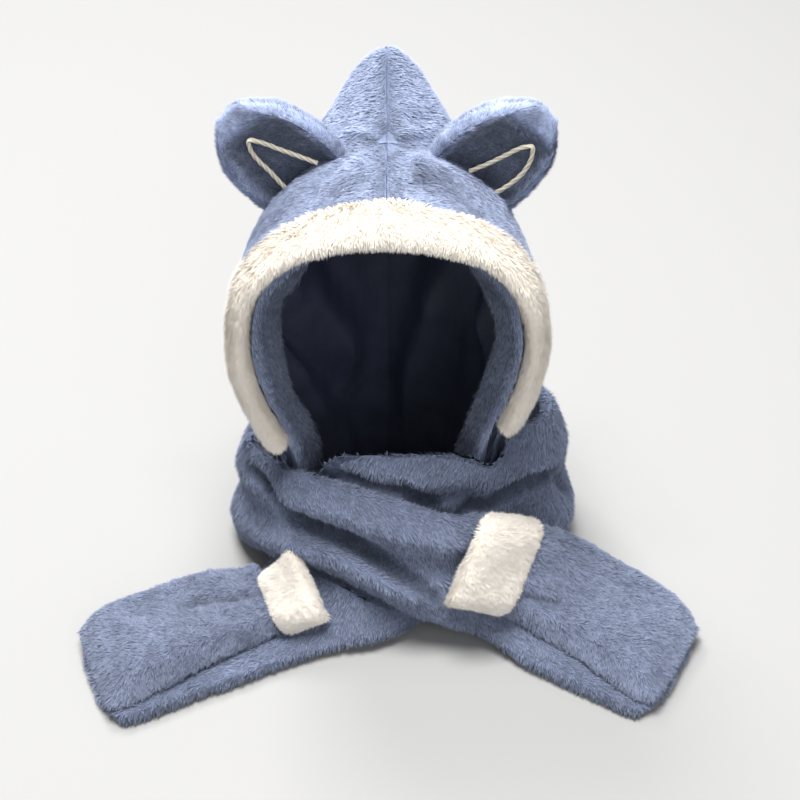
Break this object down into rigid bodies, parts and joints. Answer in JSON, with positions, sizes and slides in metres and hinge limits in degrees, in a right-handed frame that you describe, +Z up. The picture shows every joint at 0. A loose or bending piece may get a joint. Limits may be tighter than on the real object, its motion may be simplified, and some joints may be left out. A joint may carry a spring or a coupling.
{
  "type": "animal hood scarf",
  "caption": "Plush hood with two ears, a padded trim round the face and scarf ends with hand pockets, standing as if on a neck.",
  "frame": {"origin": "centre of the bounding box, on the surface that the hood stands on", "axes": "+Z up, -Y the way the face looks, +X to the viewer's right from the front"},
  "size_m": [0.5162, 0.3534, 0.4605],
  "materials": {
    "blue_plush": "short plush pile, matt",
    "cream_plush": "short plush pile, matt",
    "lining": "smooth knitted cloth",
    "piping": "twisted cord"
  },
  "bodies": {
    "root": {"face_trim": "cream_plush", "facing_left": "blue_plush", "facing_right": "blue_plush", "hood_front_left": "blue_plush", "hood_front_right": "blue_plush", "hood_back_left": "blue_plush", "hood_back_right": "blue_plush", "lining_left": "lining", "lining_right": "lining", "ear_front_left": "blue_plush", "ear_front_right": "blue_plush", "ear_back_left": "blue_plush", "ear_back_right": "blue_plush", "ear_piping_left": "piping", "ear_piping_right": "piping", "scarf_left": "blue_plush", "scarf_right": "blue_plush", "pocket_left": "blue_plush", "pocket_right": "blue_plush", "cuff_left": "cream_plush", "cuff_right": "cream_plush"}
  },
  "joints": []
}
